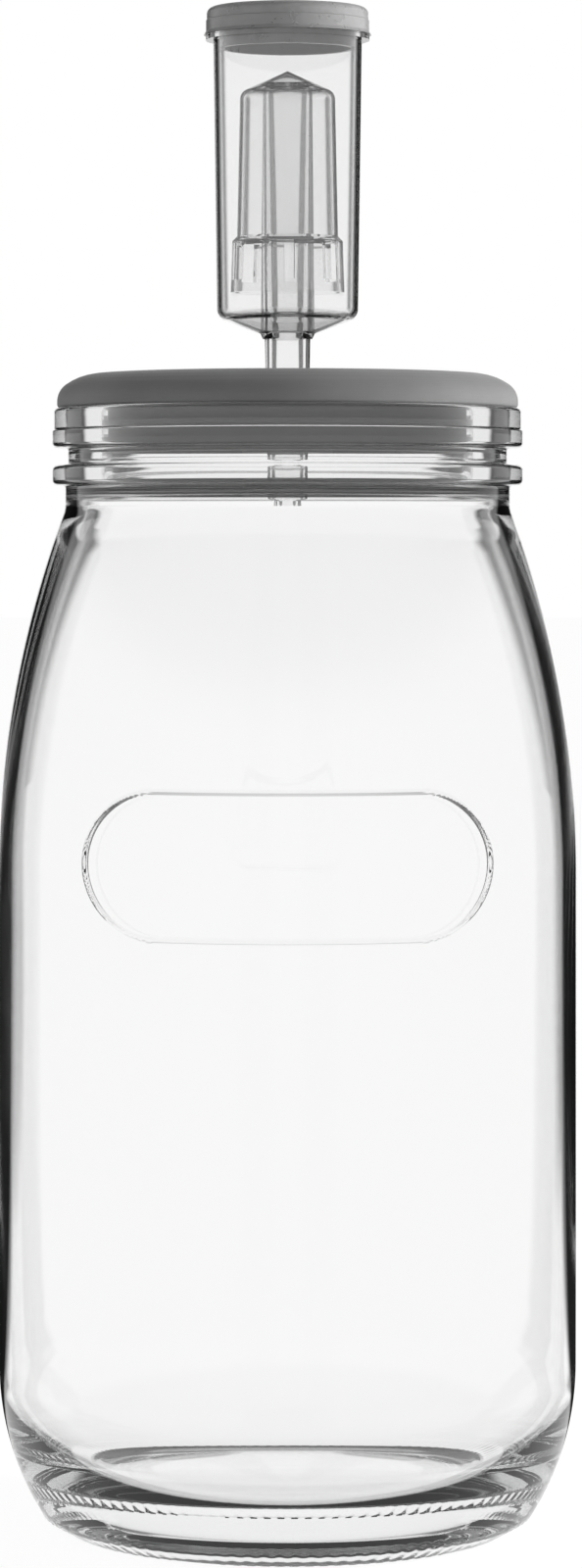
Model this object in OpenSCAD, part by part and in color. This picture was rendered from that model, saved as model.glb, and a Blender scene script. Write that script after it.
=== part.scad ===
// Fermentation jar with a three-piece airlock, in millimetres.
// +Z is up and the origin is the middle of the ring that the jar stands on.
// The bare label place faces -Y. There are five loose pieces: the glass jar, the
// silicone lid that plugs its mouth, and the airlock's body, float and cap.

/* [Glass jar] */
// Outside diameter of the body
jar_d = 140; // [128:1:170]
// Height of the glass, from the standing ring to the rim
jar_h = 271; // [240:1:320]
// Wall of the straight body
jar_wall = 3; // [2:0.25:5]
// Outside diameter of the flat ring that the jar stands on
foot_ring_d = 108; // [102:1:112]
// Diameter of the foot, where its bevel meets the heel
foot_d = 118.8; // [114:0.2:122]
// Height of the foot's bevel
foot_bevel_h = 3.1; // [2:0.1:5]
// Height at which the heel's curve runs into the straight wall
heel_h = 39.6; // [30:0.2:50]
// Height of the lowest place inside
inside_floor_z = 6.5; // [5:0.25:10]
// Radius of the inside of the heel
heel_inner_r = 30; // [20:1:40]
// Diameter of the hollow under the floor
punt_d = 98; // [80:1:98]
// Depth of the hollow under the floor
punt_depth = 3; // [1:0.25:4]
// How far the floor inside rises over that hollow
floor_rise = 2; // [0.5:0.25:3]
// Height of the shoulder's curve
shoulder_h = 88.5; // [60:0.5:110]
// How much lower the curve ends on the inside, which thickens the shoulder
shoulder_drop = 5.5; // [2:0.5:10]

/* [Neck and rings] */
// Outside diameter of the neck under the rings
neck_d = 107.6; // [104:0.2:110]
// Wall of the neck
neck_wall = 3.3; // [2.5:0.1:4.5]
// Clear height of the neck between the shoulder and the lowest ring
neck_h = 5.8; // [3:0.2:12]
// Height of the slope that leads the neck's inside in to the mouth
mouth_slope_h = 5.5; // [3:0.5:8]
// Diameter of the mouth
mouth_d = 90; // [80:0.5:95]
// Diameter of the top ring
top_ring_d = 113; // [111:0.2:116]
// Height of the top ring
top_ring_h = 5.4; // [4:0.2:8]
// Diameter of the middle and lowest rings
ring_d = 113.8; // [111:0.2:118]
// Height of the middle ring
middle_ring_h = 4.3; // [3.2:0.1:8]
// Height of the groove between the middle and lowest rings
groove_h = 4.2; // [2:0.1:8]
// Diameter at the bottom of that groove
groove_d = 106.2; // [104:0.2:109]
// Height of the lowest ring
low_ring_h = 4.8; // [3.2:0.1:8]
// Radius on the corners of the rings
ring_corner = 1.2; // [0.5:0.1:1.5]
// Radius of the small corners where the top and middle rings meet
seam_corner = 0.4; // [0.2:0.1:0.8]
// Radius on the inside edge of the rim
rim_corner = 1.5; // [0.5:0.1:2.5]

/* [Label place] */
// Width of the bare, round-ended label place
label_w = 96; // [70:1:104]
// Height of the label place
label_h = 36; // [24:1:50]
// Height of its middle above the standing ring
label_z = 164; // [120:1:180]
// Width of the raised line round it
label_line_w = 1.6; // [1:0.1:3]
// How far the line stands out of the wall
label_line_t = 0.6; // [0.3:0.1:1.2]

/* [Lid] */
// Diameter of the lid's disc
lid_d = 111.4; // [108:0.2:120]
// Thickness of the disc
lid_t = 8.2; // [7:0.1:12]
// Height of the disc's edge up to its widest place
lid_edge_h = 1.5; // [1:0.1:1.8]
// Radius of the lower part of the disc's rounded edge
lid_side_r = 5; // [3:0.25:5]
// Radius of the upper part of the disc's rounded edge
lid_top_r = 14; // [10:0.5:20]
// Height of the plug under the disc
plug_h = 10.5; // [8:0.5:14]
// Wall of the plug
plug_wall = 4.5; // [3:0.5:8]
// Thickness of the disc over the hollow of the plug
lid_web = 5; // [3:0.25:6]
// How far the two sealing lips stand out of the plug
lip_t = 1.6; // [0.8:0.1:3]
// Height of each sealing lip
lip_h = 2; // [1.2:0.1:3]
// Diameter of the boss that grips the stem
boss_d = 22; // [18:1:30]

/* [Airlock body] */
// Outside diameter of the chamber at its rim
chamber_d = 36; // [34:0.5:42]
// Outside diameter of the chamber above its bottom corner
chamber_low_d = 34.2; // [33:0.2:38]
// Height of the chamber from the collar to its rim
chamber_h = 73.3; // [70:0.1:90]
// Wall of the chamber
chamber_wall = 1.4; // [1:0.1:1.8]
// Radius of the chamber's bottom corner
chamber_corner = 3; // [2:0.25:4]
// Height of the sloping floor, from the collar's top to the bottom corner's lowest place
floor_slope_h = 3; // [2:0.25:5]
// How far the flange round the rim stands out
flange_w = 1.8; // [1:0.1:3]
// Thickness of the flange
flange_t = 1.3; // [0.8:0.1:2]
// Clear height between the lid and the collar
collar_rise = 8.4; // [2:0.2:15]
// Diameter of the collar
collar_d = 11.9; // [11.4:0.1:12.6]
// Height of the collar
collar_h = 1.3; // [0.6:0.1:2.5]
// Diameter of the stem under the collar
stem_d = 11; // [10:0.1:11.4]
// Diameter of the stem at its lower end
stem_low_d = 9.5; // [9.2:0.1:10]
// How far the tip reaches below the lid's plug
stem_reach = 16.2; // [10:0.2:25]
// Length of the narrow tip, with the slope above it
tip_l = 6.7; // [4:0.1:9]
// Height of that slope
tip_slope_h = 2; // [1:0.1:3]
// Diameter of the narrow tip
tip_d = 6.6; // [6:0.1:7.4]
// Diameter of the hole in the tip
tip_hole_d = 4.2; // [4.1:0.1:4.8]
// Bore of the stem and of the riser's lower end
gas_bore_d = 7.8; // [6.6:0.1:8]
// Outside diameter of the riser at the chamber's floor
riser_d = 13; // [12:0.1:14]
// Outside diameter of the riser at its top
riser_top_d = 11.9; // [11.7:0.1:12.6]
// Bore of the riser at its top
riser_top_bore_d = 9.5; // [8.4:0.1:9.8]
// Height of the riser's top above the collar
riser_h = 60; // [54:0.5:62]

/* [Airlock float] */
// Outside diameter of the float at its shoulder
float_d = 23; // [21:0.2:24]
// Outside diameter of the float above its skirt
float_low_d = 24.4; // [22:0.2:25]
// Wall of the float
float_wall = 1.1; // [0.8:0.1:1.5]
// Radius on the float's shoulder
float_corner = 2.5; // [2:0.1:3.5]
// Height of the float's point above the riser
float_cone_h = 4.6; // [4.4:0.1:6.5]
// Drop from the riser's top to the float's shoulder
float_shoulder_drop = 2.2; // [1.8:0.1:4]
// Length of the float from the riser's top to its lower edge
float_l = 48.8; // [40:0.2:51]
// Diameter of the skirt at its lower edge
skirt_d = 27.5; // [26.6:0.1:28.4]
// Diameter of the skirt at its top
skirt_top_d = 26.7; // [26:0.1:27.6]
// Height of the skirt
skirt_h = 12.4; // [9:0.2:18]
// Height of the sloping ledge above the skirt
ledge_h = 1.2; // [0.8:0.1:3]
// Number of slots round the skirt
slot_count = 6; // [3:1:8]
// Width of a slot
slot_w = 5.9; // [3:0.1:7]
// Height of the closed band under the slots
slot_band = 2.9; // [1.5:0.1:4]
// Height of the closed band over the slots
slot_top_band = 0.3; // [0.2:0.1:2]
// Turn of the first slot from the front, towards -X
slot_turn = 6.4; // [0:0.2:60]

/* [Airlock cap] */
// How far the cap's side stands out past the chamber's rim
cap_overhang = 1.5; // [0.8:0.1:3]
// Height of the cap from the flange to its top
cap_h = 6.6; // [6:0.1:10]
// Thickness of the cap's top
cap_top_t = 1.6; // [1:0.1:2.5]
// Wall of the cap's side
cap_wall = 1.4; // [1:0.1:2.2]
// Radius on the cap's top corner
cap_corner = 1.6; // [0.8:0.1:1.8]
// Height of the thicker band round the cap's lower half
cap_band_h = 3.4; // [2:0.1:4]
// How far that band stands out
cap_band_t = 0.2; // [0.1:0.1:0.8]
// How far the lip at the bottom stands out past the band
cap_lip_t = 0.5; // [0.2:0.1:1]
// Height of that lip
cap_lip_h = 0.8; // [0.4:0.1:1.5]
// Depth of the ring that plugs the chamber
cap_plug_h = 3.4; // [2:0.1:6]
// Wall of that ring
cap_plug_wall = 1.3; // [0.8:0.1:1.8]
// Number of vent holes
vent_count = 6; // [3:1:10]
// Diameter of a vent hole
vent_d = 1.2; // [0.8:0.1:2]
// Radius of the circle of vent holes
vent_circle_r = 8; // [5:0.5:11]

/* [Fits] */
// Radial clearance between the lid's sealing lips and the mouth
lip_clearance = 0.06; // [0.02:0.01:0.1]
// Radial clearance between the stem and the lid's hole
stem_clearance = 0.05; // [0.02:0.01:0.1]
// Radial clearance between the cap's ring and the chamber
cap_clearance = 0.06; // [0.02:0.01:0.1]

/* [Hidden] */
$fn = 96;
glass_colour = [0.88, 0.92, 0.92, 0.35];
clear_plastic_colour = [0.93, 0.94, 0.94, 0.45];
silicone_colour = [0.40, 0.40, 0.40];
grey_plastic_colour = [0.48, 0.48, 0.48];
// How far a cut or an overlap runs past the face that it crosses
past = 1;
// Degrees between the points of a rounded corner that an outline follows
corner_step = 7.5;

// Radius of an arc that leaves a straight line tangent to it, and runs this far along and aside
function arc_radius(aside, along) =
  round((aside * aside + along * along) / (2 * aside) * 1000) / 1000;

// Points of an arc about a centre, from one angle to another
function arc(centre, radius, from, to) =
  let (steps = max(2, ceil(abs(to - from) / corner_step)))
  [for (i = [0:steps]) let (a = from + (to - from) * i / steps) centre + radius * [cos(a), sin(a)]];

// Angle at which a line from a point touches a circle, seen from the circle's centre
function touch_angle(point, centre, radius, side) =
  let (away = point - centre)
  atan2(away[1], away[0]) + side * acos(radius / norm(away));

// Heights and radii of the jar
jar_r = jar_d / 2;
foot_r = foot_d / 2;
neck_r = neck_d / 2;
mouth_r = mouth_d / 2;
top_ring_z = jar_h - top_ring_h;
middle_ring_z = top_ring_z - middle_ring_h;
low_ring_top_z = middle_ring_z - groove_h;
low_ring_z = low_ring_top_z - low_ring_h;
shoulder_top_z = low_ring_z - neck_h;
shoulder_z = shoulder_top_z - shoulder_h;
heel_arc_r = arc_radius(jar_r - foot_r, heel_h - foot_bevel_h);
shoulder_arc_r = arc_radius(jar_r - neck_r, shoulder_h);
inner_r = jar_r - jar_wall;
neck_inner_r = neck_r - neck_wall;
inner_shoulder_top_z = shoulder_top_z - shoulder_drop;
inner_arc_r = arc_radius(inner_r - neck_inner_r, inner_shoulder_top_z - shoulder_z);
mouth_z = low_ring_z + (neck_inner_r - mouth_r) / 2;
punt_arc_r = arc_radius(punt_depth, punt_d / 2);
floor_r = inner_r - heel_inner_r;
floor_arc_r = arc_radius(floor_rise, floor_r - 2 * past);

// Heights and radii of the lid
lid_r = lid_d / 2;
lid_top_z = jar_h + lid_t;
plug_z = jar_h - plug_h;
lip_r = mouth_r - lip_clearance;
plug_r = lip_r - lip_t;
// The edge's two arcs meet where they point the same way, at this angle
edge_turn = asin((lid_top_r - lid_t + lid_edge_h) / (lid_top_r - lid_side_r));
edge_side_centre = [lid_r - lid_side_r, jar_h + lid_edge_h];
edge_top_centre = edge_side_centre - (lid_top_r - lid_side_r) * [cos(edge_turn), sin(edge_turn)];

// Heights and radii of the airlock
collar_z = lid_top_z + collar_rise;
chamber_z = collar_z + chamber_h;
stem_z = plug_z - stem_reach;
stem_low_z = stem_z + tip_l;
corner_z = collar_z + collar_h + floor_slope_h + chamber_corner;
corner_centre = [chamber_low_d / 2 - chamber_corner, corner_z];
collar_top = [collar_d / 2 + collar_h / 2, collar_z + collar_h];
floor_turn = touch_angle(collar_top, corner_centre, chamber_corner, 1);
riser_z = collar_z + riser_h;
riser_foot_z = collar_z + collar_h + chamber_wall;
stem_taper = (stem_d - stem_low_d) / 2 / (collar_z - stem_low_z);
chamber_taper = (chamber_d - chamber_low_d) / 2 / (chamber_z - corner_z);
float_z = riser_z - float_l;
skirt_top_z = float_z + skirt_h;
float_shoulder_z = riser_z - float_shoulder_drop;
float_centre = [float_d / 2 - float_corner, float_shoulder_z];
float_point = [0, riser_z + float_cone_h];
float_turn = touch_angle(float_point, float_centre, float_corner, -1);
float_seat_r = riser_top_d / 2 + past;
cap_top_z = chamber_z + cap_h;
cap_r = chamber_d / 2 + cap_overhang;
cap_plug_r = chamber_inner_r(chamber_z - cap_plug_h) - cap_clearance;

// Outer radius of the stem at a height
function stem_r(z) = stem_low_d / 2 + stem_taper * (z - stem_low_z);

// Inner radius of the chamber's wall at a height
function chamber_inner_r(z) = chamber_low_d / 2 - chamber_wall + chamber_taper * (z - corner_z);

// Outer radius of the float above its skirt, and of the skirt, at a height
function float_r(z) =
  float_d / 2 + (float_low_d - float_d) / 2 * (float_shoulder_z - z) / (float_shoulder_z - skirt_top_z);
function skirt_r(z) = skirt_d / 2 + (skirt_top_d - skirt_d) / 2 * (z - float_z) / skirt_h;

// A rectangle of a profile, from one radius and height to another
module block(r0, z0, r1, z1) {
  translate([r0, z0]) square([r1 - r0, z1 - z0]);
}

// The part of a disc that lies between two heights, outside radius r0
module disc_part(centre, radius, r0, z0, z1) {
  intersection() {
    translate(centre) circle(radius, $fn = 360);
    block(r0, z0, centre[0] + radius + past, z1);
  }
}

// A ring's profile out to a radius, with rounded lower and upper corners
module ring_profile(radius, z0, z1, low_corner, high_corner) {
  polygon(concat(
    [[0, z0]],
    arc([radius - low_corner, z0 + low_corner], low_corner, -90, 0),
    arc([radius - high_corner, z1 - high_corner], high_corner, 0, 90),
    [[0, z1]]
  ));
}

// The jar's outside up to its rings as a solid profile, grown by skin over the body
module jar_outside(skin) {
  difference() {
    disc_part([jar_r - heel_arc_r, heel_h], heel_arc_r + skin, 0, 0, heel_h);
    polygon([
      [foot_ring_d / 2, 0], [foot_r, foot_bevel_h],
      [2 * foot_r - foot_ring_d / 2, 2 * foot_bevel_h], [jar_d, 0], [jar_d, -past], [foot_ring_d / 2, -past]
    ]);
  }
  block(0, heel_h, jar_r + skin, shoulder_z);
  disc_part([jar_r - shoulder_arc_r, shoulder_z], shoulder_arc_r + skin, 0, shoulder_z, low_ring_z);
  block(0, shoulder_z, neck_r, low_ring_z);
}

module jar_rings() {
  ring_profile(ring_d / 2, low_ring_z, low_ring_top_z, ring_corner, ring_corner);
  block(0, low_ring_top_z, groove_d / 2, middle_ring_z);
  ring_profile(ring_d / 2, middle_ring_z, top_ring_z, ring_corner, seam_corner);
  ring_profile(top_ring_d / 2, top_ring_z, jar_h, seam_corner, ring_corner);
}

// The room inside the jar
module jar_inside() {
  heel_z = inside_floor_z + heel_inner_r;
  difference() {
    block(0, inside_floor_z, floor_r, heel_z);
    disc_part([0, inside_floor_z + floor_rise - floor_arc_r], floor_arc_r, 0, 0, heel_z);
  }
  disc_part([floor_r, heel_z], heel_inner_r, floor_r, inside_floor_z, heel_z);
  block(0, heel_z, inner_r, shoulder_z);
  disc_part([inner_r - inner_arc_r, shoulder_z], inner_arc_r, 0, shoulder_z, inner_shoulder_top_z + past);
  block(0, shoulder_z, neck_inner_r, mouth_z - mouth_slope_h);
  polygon([
    [0, mouth_z - mouth_slope_h], [neck_inner_r, mouth_z - mouth_slope_h], [mouth_r, mouth_z], [0, mouth_z]
  ]);
  block(0, mouth_z, mouth_r, jar_h + past);
}

// Rounds the rim's inside edge
module rim_edge() {
  difference() {
    block(mouth_r - past, jar_h - rim_corner, mouth_r + rim_corner, jar_h + past);
    translate([mouth_r + rim_corner, jar_h - rim_corner]) circle(rim_corner);
  }
}

// The hollow under the floor
module punt() {
  disc_part([0, punt_depth - punt_arc_r], punt_arc_r, 0, -past, punt_depth + past);
}

// A round-ended outline
module stadium(w, h) {
  square([w - h, h], center = true);
  for (side = [-1, 1]) {
    translate([side * (w - h) / 2, 0]) circle(h / 2);
  }
}

// The raised line round the bare label place, on the front of the jar
module label_line() {
  intersection() {
    translate([0, -jar_r / 2, label_z]) rotate([90, 0, 0]) linear_extrude(jar_r) difference() {
      stadium(label_w, label_h);
      stadium(label_w - 2 * label_line_w, label_h - 2 * label_line_w);
    }
    rotate_extrude() difference() {
      jar_outside(label_line_t);
      jar_outside(-jar_wall / 2);
    }
  }
}

module glass_jar() {
  color(glass_colour) union() {
    rotate_extrude() difference() {
      union() {
        jar_outside(0);
        jar_rings();
      }
      jar_inside();
      rim_edge();
      punt();
    }
    label_line();
  }
}

// The plug under the disc, with its two sealing lips
module lid_plug() {
  lip_step = (plug_h - lip_h) / 2;
  block(plug_r - plug_wall, plug_z, plug_r, jar_h);
  for (i = [0, 1]) {
    z = plug_z + past + i * lip_step;
    polygon([[plug_r - past, z], [plug_r, z], [lip_r, z + lip_h / 2], [lip_r, z + lip_h], [plug_r - past, z + lip_h]]);
  }
}

module silicone_lid() {
  low_corner = lid_edge_h / 2;
  color(silicone_colour) rotate_extrude() difference() {
    union() {
      polygon(concat(
        [[0, lid_top_z], [0, jar_h]],
        arc([lid_r - low_corner, jar_h + low_corner], low_corner, -90, 0),
        arc(edge_side_centre, lid_side_r, 0, edge_turn),
        arc(edge_top_centre, lid_top_r, edge_turn, 90)
      ));
      lid_plug();
      block(0, plug_z, boss_d / 2, jar_h);
    }
    block(boss_d / 2, jar_h - past, plug_r - plug_wall, lid_top_z - lid_web);
    polygon([
      [0, plug_z - past],
      [stem_r(plug_z - past) + stem_clearance, plug_z - past],
      [stem_r(lid_top_z + past) + stem_clearance, lid_top_z + past],
      [0, lid_top_z + past]
    ]);
  }
}

// The airlock body's outside: tip, stem, collar, sloping floor, wall and flange
module body_outside() {
  rim_r = chamber_d / 2;
  polygon(concat(
    [
      [0, stem_z], [tip_d / 2, stem_z], [tip_d / 2, stem_low_z - tip_slope_h],
      [stem_low_d / 2, stem_low_z], [stem_d / 2, collar_z], [collar_d / 2, collar_z], collar_top
    ],
    arc(corner_centre, chamber_corner, floor_turn, 0),
    [
      [rim_r - chamber_taper * flange_t, chamber_z - flange_t], [rim_r + flange_w, chamber_z - flange_t],
      [rim_r + flange_w, chamber_z], [0, chamber_z]
    ]
  ));
}

// The room in the chamber, round the riser
module chamber_inside() {
  polygon(concat(
    [[0, riser_foot_z], [collar_top[0], riser_foot_z]],
    arc(corner_centre, chamber_corner - chamber_wall, floor_turn, 0),
    [[chamber_inner_r(chamber_z + past), chamber_z + past], [0, chamber_z + past]]
  ));
}

module airlock_body() {
  color(clear_plastic_colour) rotate_extrude() difference() {
    union() {
      difference() {
        body_outside();
        chamber_inside();
      }
      polygon([
        [0, collar_z], [riser_d / 2, riser_foot_z - past / 2], [riser_top_d / 2, riser_z], [0, riser_z]
      ]);
    }
    polygon([
      [0, stem_z - past], [tip_hole_d / 2, stem_z - past], [tip_hole_d / 2, stem_low_z - tip_slope_h],
      [gas_bore_d / 2, stem_low_z], [gas_bore_d / 2, collar_z],
      [riser_top_bore_d / 2, riser_z], [riser_top_bore_d / 2, riser_z + past], [0, riser_z + past]
    ]);
  }
}

// The float's outside, from its point down to the skirt's lower edge
module float_outside() {
  polygon(concat(
    [float_point],
    arc(float_centre, float_corner, float_turn, 0),
    [
      [float_low_d / 2, skirt_top_z + ledge_h], [skirt_r(skirt_top_z), skirt_top_z],
      [skirt_d / 2, float_z], [0, float_z]
    ]
  ));
}

// The room inside the float; its flat ceiling rests on the riser's top
module float_inside() {
  polygon(concat(
    [[0, float_point[1] - 1.5 * float_wall], [riser_top_bore_d / 2, riser_z], [float_seat_r, riser_z]],
    arc(float_centre, float_corner - float_wall,
      touch_angle([float_seat_r, riser_z], float_centre, float_corner - float_wall, -1), 0),
    [
      [float_low_d / 2 - float_wall, skirt_top_z], [skirt_r(skirt_top_z) - float_wall, skirt_top_z - ledge_h],
      [skirt_d / 2 - float_wall, float_z], [skirt_d / 2 - float_wall, float_z - past], [0, float_z - past]
    ]
  ));
}

module airlock_float() {
  slot_h = skirt_h - slot_band - slot_top_band;
  color(clear_plastic_colour) difference() {
    rotate_extrude() difference() {
      float_outside();
      float_inside();
    }
    for (i = [0:slot_count - 1]) {
      rotate([0, 0, -90 - slot_turn + i * 360 / slot_count])
        translate([float_low_d / 2 - 2 * float_wall, -slot_w / 2, float_z + slot_band])
          cube([skirt_d / 2, slot_w, slot_h]);
    }
  }
}

// The cap's outside: rounded top, side, band and lip
module cap_outside() {
  band_r = cap_r + cap_band_t;
  polygon(concat(
    [[0, chamber_z], [band_r + cap_lip_t, chamber_z], [band_r, chamber_z + cap_lip_h]],
    [[band_r, chamber_z + cap_band_h], [cap_r, chamber_z + cap_band_h + cap_band_t]],
    arc([cap_r - cap_corner, cap_top_z - cap_corner], cap_corner, 0, 90),
    [[0, cap_top_z]]
  ));
}

module airlock_cap() {
  ceiling_z = cap_top_z - cap_top_t;
  plug_low_z = chamber_z - cap_plug_h;
  color(grey_plastic_colour) difference() {
    rotate_extrude() {
      difference() {
        cap_outside();
        block(0, chamber_z - past, cap_r - cap_wall, ceiling_z);
      }
      block(cap_plug_r - cap_plug_wall, plug_low_z, cap_plug_r, ceiling_z + cap_top_t / 2);
    }
    for (i = [0:vent_count - 1]) {
      rotate([0, 0, i * 360 / vent_count])
        translate([vent_circle_r, 0, ceiling_z - past]) cylinder(h = cap_top_t + 2 * past, d = vent_d);
    }
  }
}

glass_jar();
silicone_lid();
airlock_body();
airlock_float();
airlock_cap();
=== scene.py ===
# %% [markdown]
# # A glass fermentation jar with an airlock
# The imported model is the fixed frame. It has five loose pieces: the jar, the lid, and
# the airlock's body, float and cap. Blender counts in metres and +Z is up. The sizes of
# the jar are written in millimetres, because that is how such pieces are drawn.

# %% Load the frame
import math

import bpy
import numpy as np
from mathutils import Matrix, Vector


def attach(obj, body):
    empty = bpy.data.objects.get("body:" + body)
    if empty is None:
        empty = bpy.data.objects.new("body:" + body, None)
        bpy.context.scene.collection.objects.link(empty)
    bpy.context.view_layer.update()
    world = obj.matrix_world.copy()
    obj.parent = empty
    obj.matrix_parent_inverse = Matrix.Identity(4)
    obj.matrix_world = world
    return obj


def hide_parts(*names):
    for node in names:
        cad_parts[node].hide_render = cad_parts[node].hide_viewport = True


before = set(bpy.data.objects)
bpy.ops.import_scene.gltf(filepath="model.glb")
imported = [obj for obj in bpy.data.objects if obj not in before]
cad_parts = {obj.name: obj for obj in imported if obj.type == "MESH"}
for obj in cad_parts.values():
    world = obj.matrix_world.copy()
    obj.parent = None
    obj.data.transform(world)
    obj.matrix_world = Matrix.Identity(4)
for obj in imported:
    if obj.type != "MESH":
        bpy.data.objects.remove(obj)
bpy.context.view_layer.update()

MM = 0.001
scene = bpy.context.scene

# %% [markdown]
# ## The camera
# The photograph looks along +Y from far away, with the eye a little under the rim: the
# rings curve up and the foot curves down. A long lens from 1.25 m gives those curves.
# Most of the downward look is a tilt of the camera, and a small shift does the rest:
# with both, the rims, rings and foot fall on the rows that the photograph has them on.

# %% Camera
PHOTO_W, PHOTO_H = 594, 1600
# The photograph's column of pixels that the jar's axis stands in
JAR_COLUMN = 293.5
EYE_HEIGHT = 0.240
EYE_DISTANCE = 1.250
FOCAL_PX = 5267.0
TILT_DEG = 1.705
SHIFT_UP = -0.06
SENSOR = 36.0
FARTHEST_SEEN = 50.0

camera_data = bpy.data.cameras.new("camera")
camera_data.sensor_fit = "VERTICAL"
camera_data.sensor_width = SENSOR
camera_data.sensor_height = SENSOR
camera_data.lens = FOCAL_PX / PHOTO_H * SENSOR
camera_data.shift_x = (PHOTO_W / 2 - JAR_COLUMN) / PHOTO_H
camera_data.shift_y = SHIFT_UP
camera_data.clip_end = FARTHEST_SEEN
camera = bpy.data.objects.new("camera", camera_data)
scene.collection.objects.link(camera)
camera.location = (0, -EYE_DISTANCE, EYE_HEIGHT)
camera.rotation_euler = (math.radians(90 - TILT_DEG), 0, 0)
scene.camera = camera
scene.view_settings.view_transform = "Standard"
print("lens", round(camera_data.lens, 2), "mm")

# %% [markdown]
# ## Colours and nodes
# Colours are picked as sRGB hex values, as in any picture program, but a shader counts
# in linear light, so one function turns them over. A texture's scale counts its cells
# in a metre, so another turns a size in millimetres into that. One small function adds
# a node to a tree, sets it up and links its inputs, which keeps every material short.

# %% Colour and node helpers
def hex_colour(text):
    """An sRGB colour such as #808080 as linear red, green, blue and alpha."""
    values = [int(text[i:i + 2], 16) / 255 for i in (1, 3, 5)]
    linear = [v / 12.92 if v <= 0.04045 else ((v + 0.055) / 1.055) ** 2.4 for v in values]
    return tuple(linear) + (1.0,)


def cells_of(size_mm):
    """A texture's scale for cells of this size in millimetres."""
    return 1.0 / (size_mm * MM)


def add(tree, kind, settings=None, **inputs):
    """Adds a node. Inputs are named with _ for a space; a socket links and a value is set."""
    made = tree.nodes.new(kind)
    for name, value in (settings or {}).items():
        setattr(made, name, value)
    for name, value in inputs.items():
        if name.startswith("in"):
            socket = made.inputs[int(name[2:])]
        else:
            socket = made.inputs[name.replace("_", " ")]
        if isinstance(value, bpy.types.NodeSocket):
            tree.links.new(value, socket)
        else:
            socket.default_value = value
    return made


def new_material(name):
    """An empty material and its node tree."""
    made = bpy.data.materials.new(name)
    made.use_nodes = True
    made.node_tree.nodes.clear()
    return made, made.node_tree


WHITE = (1, 1, 1, 1)
print("#808080 is", round(hex_colour("#808080")[0], 3), "in linear light")

# %% [markdown]
# ## The studio's panels
# Clear glass has no colour of its own: it shows what stands round it. Photographers set
# it before white panels with dark gaps between them, so that the middle stays bright and
# every edge, which bends light far aside, turns dark. Real panels could be modelled, but
# light that only depends on the direction is smooth and costs no time. Eight panels and
# eight gaps go round, for rays that only passed through glass. Rays that were mirrored on
# their way see two dark flags instead, one at either side of the panel behind the jar:
# all eight gaps would draw stripes down the middle of the jar.

# %% Panels and flags
PANELS = 8
# The cosine at which a panel starts to show, and the one at which it is white
PANEL_EDGE = (-0.58, -0.22)
GAP_LIGHT = 0.015
# Degrees from the back: a flag's edge starts, is dark, stops being dark and is over
FLAGS = (11.0, 15.0, 38.0, 44.0)
SMOOTH = {"interpolation_type": "SMOOTHSTEP"}
FLOATS = {"data_type": "FLOAT"}


def panel_ring(tree, x, y, wider):
    """White in front of a panel and GAP_LIGHT between two."""
    angle = add(tree, "ShaderNodeMath", {"operation": "ARCTAN2"}, in0=y, in1=x)
    turns = add(
        tree, "ShaderNodeMath", {"operation": "MULTIPLY"},
        in0=angle.outputs[0], in1=float(PANELS),
    )
    wave = add(tree, "ShaderNodeMath", {"operation": "COSINE"}, in0=turns.outputs[0])
    grown = add(
        tree, "ShaderNodeMath", {"operation": "ADD"}, in0=wave.outputs[0], in1=wider,
    )
    return add(
        tree, "ShaderNodeMapRange", SMOOTH, Value=grown.outputs[0],
        From_Min=PANEL_EDGE[0], From_Max=PANEL_EDGE[1], To_Min=GAP_LIGHT, To_Max=1.0,
    ).outputs[0]


def two_flags(tree, x, y):
    """GAP_LIGHT at the two flags and white elsewhere, by the angle from +Y."""
    turned = add(tree, "ShaderNodeMath", {"operation": "ARCTAN2"}, in0=x, in1=y)
    aside = add(
        tree, "ShaderNodeMath", {"operation": "ABSOLUTE"}, in0=turned.outputs[0],
    ).outputs[0]
    starts, dark, still_dark, over = [math.radians(degrees) for degrees in FLAGS]
    inner = add(
        tree, "ShaderNodeMapRange", SMOOTH, Value=aside,
        From_Min=starts, From_Max=dark, To_Min=1.0, To_Max=GAP_LIGHT,
    )
    outer = add(
        tree, "ShaderNodeMapRange", SMOOTH, Value=aside,
        From_Min=still_dark, From_Max=over, To_Min=0.0, To_Max=1.0,
    )
    return add(
        tree, "ShaderNodeMath", {"operation": "MAXIMUM"},
        in0=inner.outputs[0], in1=outer.outputs[0],
    ).outputs[0]


def panel_light(tree, x, y, wider=0.0):
    """The panels for light that only passed through glass, and the flags for the rest."""
    path = add(tree, "ShaderNodeLightPath")
    mirrored = add(
        tree, "ShaderNodeMath", {"operation": "SUBTRACT", "use_clamp": True},
        in0=path.outputs["Ray Depth"], in1=path.outputs["Transmission Depth"],
    )
    return add(
        tree, "ShaderNodeMix", FLOATS, Factor=mirrored.outputs[0],
        A=panel_ring(tree, x, y, wider), B=two_flags(tree, x, y),
    ).outputs[0]


def left_glass(tree, path):
    """1 for rays that passed through a clear surface or mirrored in one."""
    return add(
        tree, "ShaderNodeMath", {"operation": "MAXIMUM"},
        in0=path.outputs["Is Glossy Ray"], in1=path.outputs["Is Transmission Ray"],
    ).outputs[0]


print(PANELS, "panels,", 360 / PANELS, "degrees apart")

# %% [markdown]
# ## The world
# The world shows the panels to rays that come from the glass. Above the panels the room
# is dim all round. Rays straight from the camera see plain white, so the picture has a
# white background, and the light that reaches matt surfaces is a soft grey, so that the
# background doesn't wash them out.

# %% World
AMBIENT = 0.34
CEILING_LIGHT = 0.35
# The upward part of a direction where the ceiling starts, and where it is all there is
CEILING_EDGE = (0.28, 0.50)

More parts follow.
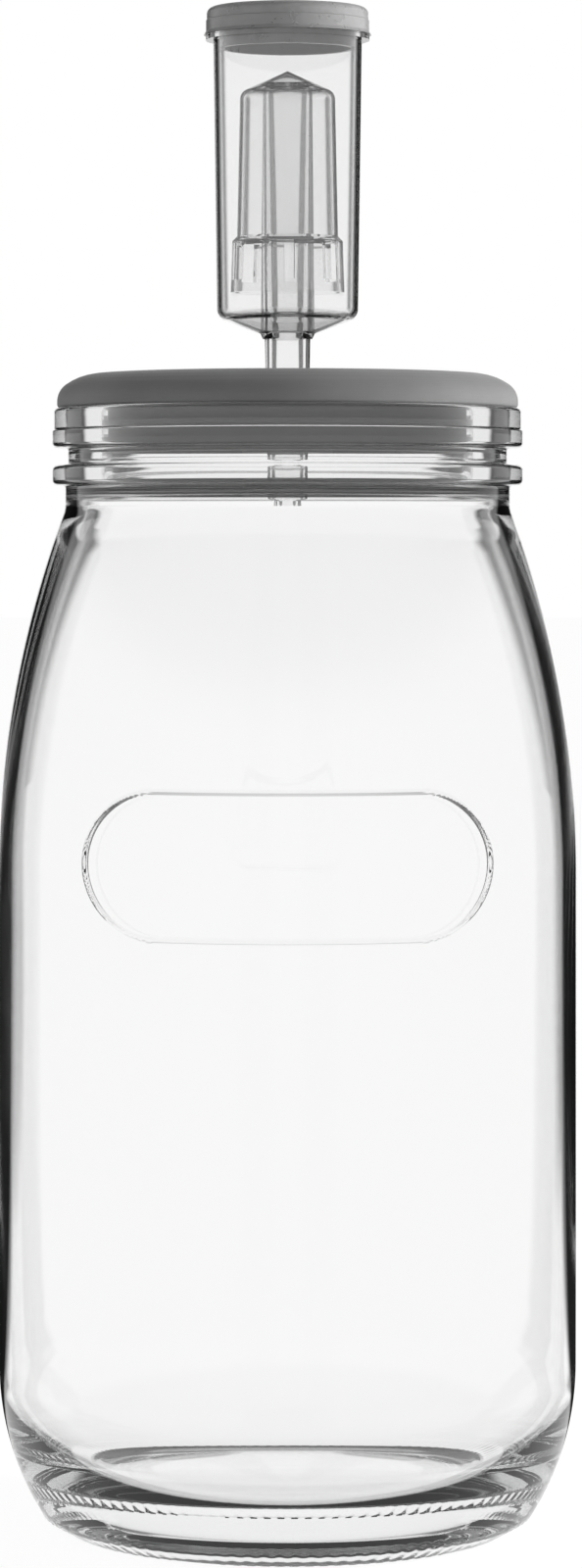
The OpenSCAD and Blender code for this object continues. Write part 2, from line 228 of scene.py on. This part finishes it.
world = bpy.data.worlds.new("studio")
scene.world = world
world.use_nodes = True
tree = world.node_tree
tree.nodes.clear()
direction = add(tree, "ShaderNodeTexCoord").outputs["Generated"]
split = add(tree, "ShaderNodeSeparateXYZ", Vector=direction)
panels = panel_light(tree, split.outputs["X"], split.outputs["Y"])
overhead = add(
    tree, "ShaderNodeMapRange", SMOOTH, Value=split.outputs["Z"],
    From_Min=CEILING_EDGE[0], From_Max=CEILING_EDGE[1], To_Min=0.0, To_Max=1.0,
)
room = add(
    tree, "ShaderNodeMix", FLOATS, Factor=overhead.outputs[0], A=panels, B=CEILING_LIGHT,
)
path = add(tree, "ShaderNodeLightPath")
unseen = add(
    tree, "ShaderNodeMix", FLOATS, Factor=left_glass(tree, path),
    A=AMBIENT, B=room.outputs[0],
)
strength = add(
    tree, "ShaderNodeMix", FLOATS, Factor=path.outputs["Is Camera Ray"],
    A=unseen.outputs[0], B=1.0,
)
background = add(tree, "ShaderNodeBackground", Color=WHITE, Strength=strength.outputs[0])
add(tree, "ShaderNodeOutputWorld", Surface=background.outputs[0])
print("world nodes", len(tree.nodes))

# %% [markdown]
# ## The floor
# A big round sheet of white card lies under the jar. A single square would do for a
# small set, but this one reaches far, to hide its edge in the white of the background,
# so its rings start small at the jar and grow outwards.

# %% Floor sheet
FLOOR_R = 14.0
FLOOR_DROP = 0.2 * MM
RINGS, SECTORS = 48, 96
radii = [FLOOR_R * (i / RINGS) ** 2 for i in range(1, RINGS + 1)]
turns = [2 * math.pi * k / SECTORS for k in range(SECTORS)]
verts = [(0, 0, 0)] + [(r * math.cos(t), r * math.sin(t), 0) for r in radii for t in turns]
faces = [(0, 1 + k, 1 + (k + 1) % SECTORS) for k in range(SECTORS)]
for i in range(RINGS - 1):
    low, high = 1 + i * SECTORS, 1 + (i + 1) * SECTORS
    for k in range(SECTORS):
        n = (k + 1) % SECTORS
        faces.append((low + k, high + k, high + n, low + n))
floor_mesh = bpy.data.meshes.new("floor")
floor_mesh.from_pydata(verts, [], faces)
floor = bpy.data.objects.new("floor", floor_mesh)
scene.collection.objects.link(floor)
floor.location = (0, 0, -FLOOR_DROP)
print("floor faces", len(floor_mesh.polygons))

# %% [markdown]
# ## Matt white card
# The card is matt, so it takes the jar's soft shadow. For rays from the camera most of
# it glows at the white of the background, which hides its far edge. Seen through the
# glass it glows with a painted reflection of the panels and the gaps, as a glossy white
# table under such a set would mirror them. Close to the jar a gap would show in its
# middle, so the panels grow together there.

# %% Floor card
GAP_START = 0.40
GLOW_SHARE = 0.88
GLOW_SEEN = 1.07
floor_card, tree = new_material("matt_white_card")
place = add(tree, "ShaderNodeTexCoord").outputs["Object"]
split = add(tree, "ShaderNodeSeparateXYZ", Vector=place)
distance = add(tree, "ShaderNodeVectorMath", {"operation": "LENGTH"}, in0=place)
wider = add(
    tree, "ShaderNodeMath", {"operation": "DIVIDE"},
    in0=GAP_START, in1=distance.outputs["Value"],
)
# Painted reflection: the panels and gaps glow on the card for rays that left glass
painted_panel_reflection = panel_light(tree, split.outputs["X"], split.outputs["Y"], wider.outputs[0])
path = add(tree, "ShaderNodeLightPath")
strength = add(
    tree, "ShaderNodeMix", FLOATS, Factor=path.outputs["Is Camera Ray"],
    A=painted_panel_reflection, B=GLOW_SEEN,
)
share = add(
    tree, "ShaderNodeMath", {"operation": "MULTIPLY_ADD", "use_clamp": True},
    in0=path.outputs["Is Camera Ray"], in1=GLOW_SHARE, in2=left_glass(tree, path),
)
matt = add(tree, "ShaderNodeBsdfDiffuse", Color=hex_colour("#F4F4F4"))
glow = add(tree, "ShaderNodeEmission", Color=WHITE, Strength=strength.outputs[0])
mixed = add(
    tree, "ShaderNodeMixShader",
    in0=share.outputs[0], in1=matt.outputs[0], in2=glow.outputs[0],
)
add(tree, "ShaderNodeOutputMaterial", Surface=mixed.outputs[0])
floor_mesh.materials.append(floor_card)
print("card nodes", len(tree.nodes))

# %% [markdown]
# ## The lamps
# Two big soft boxes: the stronger one stands on the right, which is why the lid is
# paler at that side, and a weak one fills from the left. They light matt surfaces only
# as much as keeps a grey about the grey that it is written as. The glass doesn't show
# them, because the panels already give it all that it mirrors.

# %% Lamps
BOX_SIZE = (0.7, 1.2)
LAMPS_AIM = Vector((0, 0, 0.24))
# Each lamp's place in metres and its power in watts
LAMPS = {
    "soft_box_right": ((1.35, 0.0, 0.5), 40),
    "soft_box_left": ((-1.3, -0.8, 0.9), 4),
}
for name, (place, power) in LAMPS.items():
    data = bpy.data.lights.new(name, "AREA")
    data.shape = "RECTANGLE"
    data.size, data.size_y = BOX_SIZE
    data.energy = power
    lamp = bpy.data.objects.new(name, data)
    scene.collection.objects.link(lamp)
    lamp.location = place
    lamp.rotation_euler = (LAMPS_AIM - Vector(place)).to_track_quat("-Z", "Y").to_euler()
    lamp.visible_transmission = False
    lamp.visible_glossy = False
    print(name, power, "W at", place)

# %% [markdown]
# ## Pressed soda-lime glass
# Jars are pressed and blown from soda-lime glass: clear, with an index of 1.52 and a
# faint grey where light runs a long way in it, as at the wall's edges. Its surface has
# very shallow waves, a few centimetres long, so that what it mirrors isn't quite
# straight. A weak bump carries them, and the deeper waves inside are modelled further on.

# %% Jar glass
jar_glass, tree = new_material("pressed_soda_lime_glass")
place = add(tree, "ShaderNodeTexCoord").outputs["Object"]
slow = add(
    tree, "ShaderNodeTexNoise", Vector=place, Scale=cells_of(35.7),
    Detail=1.0, Roughness=0.4,
)
waves = add(
    tree, "ShaderNodeBump", Strength=0.05, Distance=1.2 * MM, Height=slow.outputs["Fac"],
)
glass = add(
    tree, "ShaderNodeBsdfPrincipled", Base_Color=hex_colour("#FDFDFD"), Roughness=0.0,
    IOR=1.52, Transmission_Weight=1.0, Specular_IOR_Level=0.2, Normal=waves.outputs[0],
)
grey = add(
    tree, "ShaderNodeVolumeAbsorption", Color=hex_colour("#8C8F8E"), Density=7.0,
)
add(tree, "ShaderNodeOutputMaterial", Surface=glass.outputs[0], Volume=grey.outputs[0])
print(jar_glass.name, "nodes", len(tree.nodes))

# %% [markdown]
# ## Moulded clear polystyrene
# The airlock's body and float are moulded in clear polystyrene. Its index is 1.59, and
# it is a little greyer than glass, so its thin walls draw firm outlines. Plastic that
# flowed into a mould is slightly uneven, over a centimetre or two.

# %% Clear plastic
clear_plastic, tree = new_material("moulded_clear_polystyrene")
place = add(tree, "ShaderNodeTexCoord").outputs["Object"]
flow = add(
    tree, "ShaderNodeTexNoise", Vector=place, Scale=cells_of(16.67),
    Detail=2.0, Roughness=0.5,
)
waves = add(
    tree, "ShaderNodeBump", Strength=0.02, Distance=0.5 * MM, Height=flow.outputs["Fac"],
)
plastic = add(
    tree, "ShaderNodeBsdfPrincipled", Base_Color=hex_colour("#FAFAFA"), Roughness=0.01,
    IOR=1.59, Transmission_Weight=1.0, Specular_IOR_Level=0.35, Normal=waves.outputs[0],
)
grey = add(
    tree, "ShaderNodeVolumeAbsorption", Color=hex_colour("#808080"), Density=26.0,
)
add(tree, "ShaderNodeOutputMaterial", Surface=plastic.outputs[0], Volume=grey.outputs[0])
print(clear_plastic.name, "nodes", len(tree.nodes))

# %% [markdown]
# ## Moulded silicone
# The lid is grey silicone rubber from a fine-blasted mould: matt, soft in its shine and
# slightly cloudy in tone. The mould's grain is finer than the picture can show, so it is
# drawn at 0.3 mm, where it roughens the shine. Slow clouds of 20 mm keep the grey from
# being one flat value, and a little sheen lifts the rounded edge, as dust does.

# %% Silicone
silicone, tree = new_material("moulded_grey_silicone")
place = add(tree, "ShaderNodeTexCoord").outputs["Object"]
clouds = add(
    tree, "ShaderNodeTexNoise", Vector=place, Scale=cells_of(20.0),
    Detail=4.0, Roughness=0.55,
)
tone = add(tree, "ShaderNodeValToRGB", Fac=clouds.outputs["Fac"])
for stop, (at, colour) in zip(tone.color_ramp.elements, ((0.3, "#6A6A6A"), (0.75, "#747474"))):
    stop.position = at
    stop.color = hex_colour(colour)
grain = add(
    tree, "ShaderNodeTexNoise", Vector=place, Scale=cells_of(0.303),
    Detail=2.0, Roughness=0.6,
)
shine = add(
    tree, "ShaderNodeMapRange", Value=grain.outputs["Fac"], To_Min=0.48, To_Max=0.66,
)
dents = add(
    tree, "ShaderNodeBump", Strength=0.12, Distance=0.2 * MM, Height=grain.outputs["Fac"],
)
rubber = add(
    tree, "ShaderNodeBsdfPrincipled", Base_Color=tone.outputs["Color"],
    Roughness=shine.outputs[0], IOR=1.41, Sheen_Weight=0.15, Normal=dents.outputs[0],
)
add(tree, "ShaderNodeOutputMaterial", Surface=rubber.outputs[0])
print(silicone.name, "nodes", len(tree.nodes))

# %% [markdown]
# ## Moulded grey polyethylene
# The cap is a soft, milky grey polyethylene: some light goes through it, scattered, and
# the eye sees a pale glow in its thin parts. Scattering inside the plastic would be truer
# but slow, so a rough transmission of 0.4 stands for it. Flow marks of 2.4 mm lie in its
# tone and its shine.

# %% Cap plastic
cap_plastic, tree = new_material("moulded_grey_polyethylene")
place = add(tree, "ShaderNodeTexCoord").outputs["Object"]
flow = add(
    tree, "ShaderNodeTexNoise", Vector=place, Scale=cells_of(2.381),
    Detail=2.0, Roughness=0.5,
)
shine = add(
    tree, "ShaderNodeMapRange", Value=flow.outputs["Fac"], To_Min=0.24, To_Max=0.34,
)
marks = add(
    tree, "ShaderNodeBump", Strength=0.03, Distance=0.1 * MM, Height=flow.outputs["Fac"],
)
tone = add(tree, "ShaderNodeValToRGB", Fac=flow.outputs["Fac"])
for stop, (at, colour) in zip(tone.color_ramp.elements, ((0.3, "#A2A2A2"), (0.7, "#AAAAAA"))):
    stop.position = at
    stop.color = hex_colour(colour)
milky = add(
    tree, "ShaderNodeBsdfPrincipled", Base_Color=tone.outputs["Color"],
    Roughness=shine.outputs[0], IOR=1.51, Transmission_Weight=0.4, Normal=marks.outputs[0],
)
add(tree, "ShaderNodeOutputMaterial", Surface=milky.outputs[0])
print(cap_plastic.name, "nodes", len(tree.nodes))

# %% [markdown]
# ## Turning an outline
# The jar is one outline turned about the axis, as on a lathe. Blender's Screw modifier
# could turn it too, but here the columns aren't evenly spaced and points move after the
# turn, so the mesh is made in code. A fine turned mesh bends light evenly, where the
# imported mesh's long triangles would show as flaws in clear glass. The outline starts and
# ends on the axis, and its area says which way round it runs, so that the faces look
# outwards.

# %% Lathe
SHARP_DEG = 32.0


def arc(centre, radius, start, end, steps):
    """Points of an arc in the outline, from one angle to another in degrees."""
    angles = np.radians(np.linspace(start, end, steps + 1))
    return [
        (centre[0] + radius * math.cos(a), centre[1] + radius * math.sin(a)) for a in angles
    ]


def line(a, b, steps):
    """Points from a to b, without b."""
    shares = [i / steps for i in range(steps)]
    return [(a[0] + (b[0] - a[0]) * s, a[1] + (b[1] - a[1]) * s) for s in shares]


def lathe(name, outline, turns, shape):
    """Turns an outline in mm, (radius, height), into a closed mesh in metres."""
    points = np.array(outline, float)
    ahead = np.roll(points, -1, axis=0)
    if np.sum(points[:, 0] * ahead[:, 1] - ahead[:, 0] * points[:, 1]) < 0:
        points = points[::-1]
    inner = points[1:-1]
    count, columns = len(inner), len(turns)
    radius = np.repeat(inner[:, 0][:, None], columns, 1)
    height = np.repeat(inner[:, 1][:, None], columns, 1)
    angle = np.repeat(np.array(turns)[None, :], count, 0)
    radius, height = shape(radius, height, angle)
    grid = np.stack([radius * np.cos(angle), radius * np.sin(angle), height], -1)
    verts = (grid.reshape(-1, 3) * MM).tolist()
    i, k = np.meshgrid(np.arange(count - 1), np.arange(columns), indexing="ij")
    here, above, side = i * columns, (i + 1) * columns, (k + 1) % columns
    quads = np.stack([here + k, here + side, above + side, above + k], -1)
    faces = quads.reshape(-1, 4).tolist()
    low, high, last = len(verts), len(verts) + 1, (count - 1) * columns
    verts += [(0, 0, points[0][1] * MM), (0, 0, points[-1][1] * MM)]
    faces += [(low, (c + 1) % columns, c) for c in range(columns)]
    faces += [(high, last + c, last + (c + 1) % columns) for c in range(columns)]
    mesh = bpy.data.meshes.new(name)
    mesh.from_pydata(verts, [], faces)
    mesh.shade_smooth()
    mesh.set_sharp_from_angle(angle=math.radians(SHARP_DEG))
    made = bpy.data.objects.new(name, mesh)
    scene.collection.objects.link(made)
    print(name, "points in the outline", len(points), "faces", len(faces))
    return made


print("edges over", SHARP_DEG, "degrees stay sharp")

# %% [markdown]
# ## The jar's sizes
# A real jar is pressed and blown as one piece of glass, so this is one closed mesh: two
# overlapping bodies of glass would bend light where there is no surface. These are its
# radii from the axis and its heights over the table, in millimetres.

# %% Jar sizes
MOUTH_R, NECK_INSIDE_R, NECK_R, GROOVE_R = 45.0, 50.5, 53.8, 53.1
RING_R, TOP_RING_R = 56.9, 56.5
WALL_R, INNER_R = 70.0, 67.0
STANDING_R, STAND_EDGE_R, FOOT_R, FOOT_Z = (49.0, 50.5, 52.5), 54.0, 59.4, 3.1
HEEL_Z, SHOULDER_Z, RIM_Z = 39.6, 158.0, 271.0
# The hollow under the jar and the floor inside it are shallow domes
PUNT_TOP_Z, PUNT_DOME_R, PUNT_ROWS_R = 3.0, 401.667, (0, 1.5, 6, 12, 18, 24, 30, 36, 42, 46)
FLOOR_TOP_Z, FLOOR_DOME_R, FLOOR_ROWS_R = 8.5, 307.25, (34, 30, 25, 20, 15, 10, 5, 1.5, 0)
# Long curves: the heel, the body up to the neck, the same inside, and the floor's edge
HEEL_CURVE_R, BODY_CURVE_R, INSIDE_CURVE_R, FLOOR_CURVE_R = 68.145, 249.836, 217.0, 30.0
HEEL_START_DEG, BODY_END_DEG, INSIDE_START_DEG = -32.386, 20.55, 22.3
# Where the heel's arc hands over to the body, and the shoulder to the neck
BODY_START_Z, NECK_Z = 45.6, (247.3, 248.2)
# Where each ring starts and ends
LOW_RING_Z, MIDDLE_RING_Z, TOP_RING_Z = (252.3, 257.1), (261.3, 265.6), 265.65
# The flat of the rim, and the inside from the mouth down to the floor's edge
RIM_FLAT_R, MOUTH_Z, STEP_Z = (54.0, 48.0), (268.0, 253.6), (253.2, 248.6)
NECK_INSIDE_Z, INNER_Z, FLOOR_EDGE_Z = (248.0, 241.6), (150.0, 44.0), 36.5
# Rounded corners, out of the glass and into it
RING_CORNER, SEAM_CORNER, RIM_CORNER, STEP_CORNER = 1.2, 0.4, 1.5, 2.2
NECK_FILLET, GROOVE_FILLET = 2.5, 0.8
LONG_STEPS, CORNER_STEPS, SHORT_STEPS = 26, 8, 4
# The rows of the mesh are close together where the label place's line crosses them
LABEL_LOW_Z, LABEL_HIGH_Z, LABEL_ROW = 144.8, 183.2, 0.36
print("the wall is", WALL_R - INNER_R, "mm thick and the jar", RIM_Z, "mm high")

# %% [markdown]
# ## The outside of the outline
# The outline starts on the axis in the hollow under the floor. It goes out over the
# standing ring and the foot, up the heel, the body and the round shoulder, and over the
# neck's three rings to the rim. The body is an arc of a very large circle, because the
# real jar has no straight line between its heel and its neck.

# %% Outside of the jar
def dome_z(r, dome_r, top):
    """Height of a shallow dome at a radius."""
    return top - (dome_r - math.sqrt(dome_r * dome_r - r * r))


def body_point(z):
    """The body is upright as far as the shoulder and one long curve above it."""
    rise = max(z - SHOULDER_Z, 0)
    return math.sqrt(BODY_CURVE_R ** 2 - rise * rise) - (BODY_CURVE_R - WALL_R), z


jar_line = [(r, dome_z(r, PUNT_DOME_R, PUNT_TOP_Z)) for r in PUNT_ROWS_R]
jar_line += [(r, 0.0) for r in STANDING_R]
jar_line += line((STAND_EDGE_R, 0.0), (FOOT_R, FOOT_Z), steps=9)
jar_line += arc((WALL_R - HEEL_CURVE_R, HEEL_Z), HEEL_CURVE_R, HEEL_START_DEG, 0, LONG_STEPS)
jar_line += line((WALL_R, BODY_START_Z), (WALL_R, LABEL_LOW_Z), steps=12)
rows = int((LABEL_HIGH_Z - LABEL_LOW_Z) / LABEL_ROW)
jar_line += [body_point(LABEL_LOW_Z + n * LABEL_ROW) for n in range(rows + 1)]
start = math.degrees(math.asin((jar_line[-1][1] + 1 - SHOULDER_Z) / BODY_CURVE_R))
jar_line += arc(
    (WALL_R - BODY_CURVE_R, SHOULDER_Z), BODY_CURVE_R, start, BODY_END_DEG, LONG_STEPS,
)
jar_line += arc((NECK_R + NECK_FILLET, NECK_Z[0]), NECK_FILLET, 190, 180, 3)
jar_line += line((NECK_R, NECK_Z[1]), (NECK_R, LOW_RING_Z[0] - GROOVE_FILLET), steps=2)
jar_line += arc(
    (NECK_R + GROOVE_FILLET, LOW_RING_Z[0] - GROOVE_FILLET),
    GROOVE_FILLET, 180, 90, SHORT_STEPS,
)
ring_r, groove_r = RING_R - RING_CORNER, GROOVE_R + GROOVE_FILLET
jar_line += arc((ring_r, LOW_RING_Z[0] + RING_CORNER), RING_CORNER, -90, 0, CORNER_STEPS)
jar_line += arc((ring_r, LOW_RING_Z[1] - RING_CORNER), RING_CORNER, 0, 90, CORNER_STEPS)
jar_line += arc(
    (groove_r, LOW_RING_Z[1] + GROOVE_FILLET), GROOVE_FILLET, 270, 180, SHORT_STEPS,
)
jar_line += arc(
    (groove_r, MIDDLE_RING_Z[0] - GROOVE_FILLET), GROOVE_FILLET, 180, 90, SHORT_STEPS,
)
jar_line += arc((ring_r, MIDDLE_RING_Z[0] + RING_CORNER), RING_CORNER, -90, 0, CORNER_STEPS)
# Only a fine seam parts the middle ring from the top one
jar_line += arc(
    (RING_R - SEAM_CORNER, MIDDLE_RING_Z[1] - SEAM_CORNER), SEAM_CORNER, 0, 90, SHORT_STEPS,
)
jar_line += arc(
    (TOP_RING_R - SEAM_CORNER, TOP_RING_Z + SEAM_CORNER), SEAM_CORNER, -60, 0, SHORT_STEPS,
)
jar_line += arc(
    (TOP_RING_R - RING_CORNER, RIM_Z - RING_CORNER), RING_CORNER, 0, 90, CORNER_STEPS,
)
print("points outside", len(jar_line))

# %% [markdown]
# ## The inside of the outline
# From the flat rim the outline goes down the mouth, which is straight because it was
# pressed, then over a short steep step to the blown inside of the neck. A step that
# slopes gently would send light aside and turn the lowest ring dark. Below that the
# inside follows the body, turns in a wide round edge and ends on the floor's dome.

# %% Inside of the jar
jar_line += line((RIM_FLAT_R[0], RIM_Z), (RIM_FLAT_R[1], RIM_Z), steps=3)
jar_line += arc(
    (MOUTH_R + RIM_CORNER, RIM_Z - RIM_CORNER), RIM_CORNER, 90, 180, CORNER_STEPS,
)
jar_line += line((MOUTH_R, MOUTH_Z[0]), (MOUTH_R, MOUTH_Z[1]), steps=5)
jar_line += arc((MOUTH_R + STEP_CORNER, STEP_Z[0]), STEP_CORNER, 180, 255, 6)
jar_line += arc((NECK_INSIDE_R - STEP_CORNER, STEP_Z[1]), STEP_CORNER, 80, 0, 6)
jar_line += line((NECK_INSIDE_R, NECK_INSIDE_Z[0]), (NECK_INSIDE_R, NECK_INSIDE_Z[1]), steps=3)
jar_line += arc(
    (INNER_R - INSIDE_CURVE_R, SHOULDER_Z), INSIDE_CURVE_R, INSIDE_START_DEG, 0, 30,
)
jar_line += line((INNER_R, INNER_Z[0]), (INNER_R, INNER_Z[1]), steps=14)
jar_line += arc((INNER_R - FLOOR_CURVE_R, FLOOR_EDGE_Z), FLOOR_CURVE_R, 0, -90, LONG_STEPS)
jar_line += [(r, dome_z(r, FLOOR_DOME_R, FLOOR_TOP_Z)) for r in FLOOR_ROWS_R]
print("points in all", len(jar_line))

# %% [markdown]
# ## What isn't round
# Three forms are made by moving the points of the turned mesh: the raised line round the
# bare label place, the fine bars that moulds leave round the foot, so that a hot jar
# grips the belt, and the slow waves of the blown inside, which give the edges their
# uneven dark bands. Separate pieces of glass laid on the wall would show a seam.

# %% Forms that aren't round
LABEL_Z, LABEL_STRAIGHT, LABEL_TURN_R = 164.0, 30.0, 17.2
BEAD_HALF_W, BEAD_T = 0.8, 0.6
# Points of the label's rows that are farther out than this are on the outside
OUTSIDE_FROM_R = 68.2
BARS, BAR_DEPTH = 100, 0.22
BARS_R, BARS_TOP_Z, BARS_FADE = (53.9, 60.4), 4.6, 1.2
# The foot slopes at 30 degrees, and a bar is cut square to that
BAR_IN, BAR_UP = 0.5, 0.87
# Some bars are more worn than others: their mean share and how far it changes
WORN_MEAN, WORN_CHANGE = 0.55, 0.45
WAVES_Z, WAVES_FADE = (12.0, 240.0), 30.0
# Each wave's depth, its number round the jar, its climb and where it starts
WAVES = ((0.16, 2, 38.0, 0.0), (0.05, 4, -31.0, 1.3))
WALL_SLACK = 0.01


def fade(value, ends, over):
    """0 outside the ends, 1 between them and a slope at either end."""
    return np.clip((value - ends[0]) / over, 0, 1) * np.clip((ends[1] - value) / over, 0, 1)


def raised_line(r, z, angle):
    """How far the line round the label place stands out of the wall."""
    past_end = np.maximum(np.abs(r * np.cos(angle)) - LABEL_STRAIGHT, 0)
    away = np.abs(np.hypot(past_end, z - LABEL_Z) - LABEL_TURN_R)
    bead = np.where(away < BEAD_HALF_W, 0.5 + 0.5 * np.cos(np.pi * away / BEAD_HALF_W), 0)
    at_label = (z > LABEL_LOW_Z) & (z < LABEL_HIGH_Z) & (r > OUTSIDE_FROM_R)
    return np.where(at_label & (np.sin(angle) < 0), BEAD_T * bead, 0)


def foot_bars(r, z, angle):
    """How deep the grooves between the bars are cut."""
    grip = np.where(z < BARS_TOP_Z, fade(r, BARS_R, BARS_FADE), 0)
    worn = WORN_MEAN + WORN_CHANGE * np.sin(3 * angle + 0.7) * np.sin(7 * angle)
    return BAR_DEPTH * worn * grip * (0.5 - 0.5 * np.cos(BARS * angle))


def blown_waves(r, z, angle):
    """How far the inside wall waves."""
    rise = np.maximum(z - SHOULDER_Z, 0)
    inner_wall = np.sqrt(INSIDE_CURVE_R ** 2 - rise ** 2) - (INSIDE_CURVE_R - INNER_R)
    wave = sum(
        depth * np.sin(number * angle + z / climb + start)
        for depth, number, climb, start in WAVES
    )
    return np.where(r < inner_wall + WALL_SLACK, fade(z, WAVES_Z, WAVES_FADE) * wave, 0)


def shape_jar(r, z, angle):
    """Moves the turned points by the forms that aren't round."""
    bars = foot_bars(r, z, angle)
    new_r = r + raised_line(r, z, angle) - BAR_IN * bars + blown_waves(r, z, angle)
    return new_r, z + BAR_UP * bars


print(BARS, "bars of", BAR_DEPTH, "mm and a line of", BEAD_T, "mm")

# %% [markdown]
# ## The jar
# The columns of the mesh are closest where the label place is, so that its line stays
# smooth, and twice as wide round the back. The piece rides on the jar's body and takes
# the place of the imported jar.

# %% Jar
FRONT = -math.pi / 2
LABEL_HALF_DEG, FINE_DEG, COARSE_DEG = 47.0, 0.3, 0.6
fine = int(2 * LABEL_HALF_DEG / FINE_DEG)
coarse = int((360 - 2 * LABEL_HALF_DEG) / COARSE_DEG)
steps = [math.radians(LABEL_HALF_DEG * 2 / fine)] * fine
steps += [math.radians((360 - 2 * LABEL_HALF_DEG) / coarse)] * coarse
jar_turns = FRONT - math.radians(LABEL_HALF_DEG) + np.concatenate([[0], np.cumsum(steps)[:-1]])
jar = lathe("jar_glass_body", jar_line, jar_turns, shape_jar)
jar.data.materials.append(jar_glass)
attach(jar, "jar")
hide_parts("glass_jar")
print("columns", fine, "at the front and", coarse, "round the back")

# %% [markdown]
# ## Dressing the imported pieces
# The lid and the airlock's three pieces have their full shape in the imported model: the
# slots, the vent holes and the lips are there. A copy in the scene would add nothing, so
# they keep it and only take their material.

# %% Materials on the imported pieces
FINISHES = {
    "silicone_lid": silicone,
    "airlock_body": clear_plastic,
    "airlock_float": clear_plastic,
    "airlock_cap": cap_plastic,
}
for name, material in FINISHES.items():
    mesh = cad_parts[name].data
    mesh.materials.clear()
    mesh.materials.append(material)
    print(name, "faces", len(mesh.polygons), "smooth", mesh.polygons[0].use_smooth)

# %% [markdown]
# ## Light paths
# A look through the jar and the airlock crosses more than a dozen surfaces. Rays that
# end inside the glass turn black, so they may pass many surfaces before they end.

# %% Bounces
scene.cycles.max_bounces = 32
scene.cycles.transmission_bounces = 32
scene.cycles.glossy_bounces = 10
scene.cycles.transparent_max_bounces = 16
print("bounces", scene.cycles.max_bounces)
